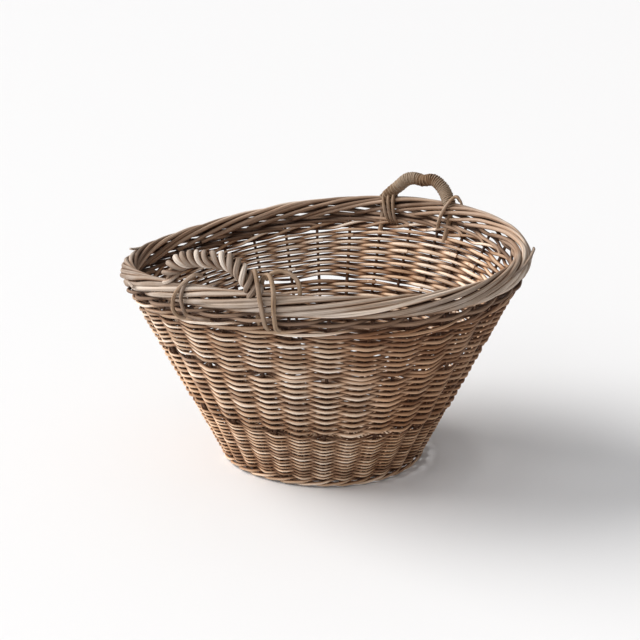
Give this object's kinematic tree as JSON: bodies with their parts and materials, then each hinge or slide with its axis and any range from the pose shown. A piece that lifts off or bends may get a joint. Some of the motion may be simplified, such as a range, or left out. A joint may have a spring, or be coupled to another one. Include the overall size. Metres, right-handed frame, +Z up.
{
  "type": "woven laundry basket",
  "caption": "Round weathered willow laundry basket, tapered and randed, with a plaited border, a roped front bow handle and a twine-wrapped rear bow handle.",
  "frame": {"origin": "centre of the bottom, on the surface the basket stands on", "axes": "+Z up, +X towards the roped front handle, Y across the basket"},
  "size_m": [0.5975, 0.6474, 0.4195],
  "materials": {
    "willow": "dry weathered willow rods, matte",
    "border_willow": "thicker willow rods bleached grey by weather, matte",
    "willow_stick": "plain round willow sticks, matte",
    "cane": "split cane lashing, slightly smoother than the rods",
    "twine": "tightly wound natural fibre twine"
  },
  "bodies": {
    "root": {"stakes": "willow", "floor_weave": "willow", "long_floor_sticks": "willow_stick", "cross_floor_sticks": "willow_stick", "base_wale": "willow", "lower_siding": "willow", "middle_siding": "willow", "upper_siding": "willow", "top_wale": "willow", "border": "border_willow", "front_bow": "willow_stick", "rear_bow": "willow_stick", "front_roping": "border_willow", "rear_twine_wrap": "twine", "front_left_lashing": "cane", "front_right_lashing": "cane", "rear_left_lashing": "cane", "rear_right_lashing": "cane", "front_cane_end": "cane", "rear_cane_end": "cane"}
  },
  "joints": []
}
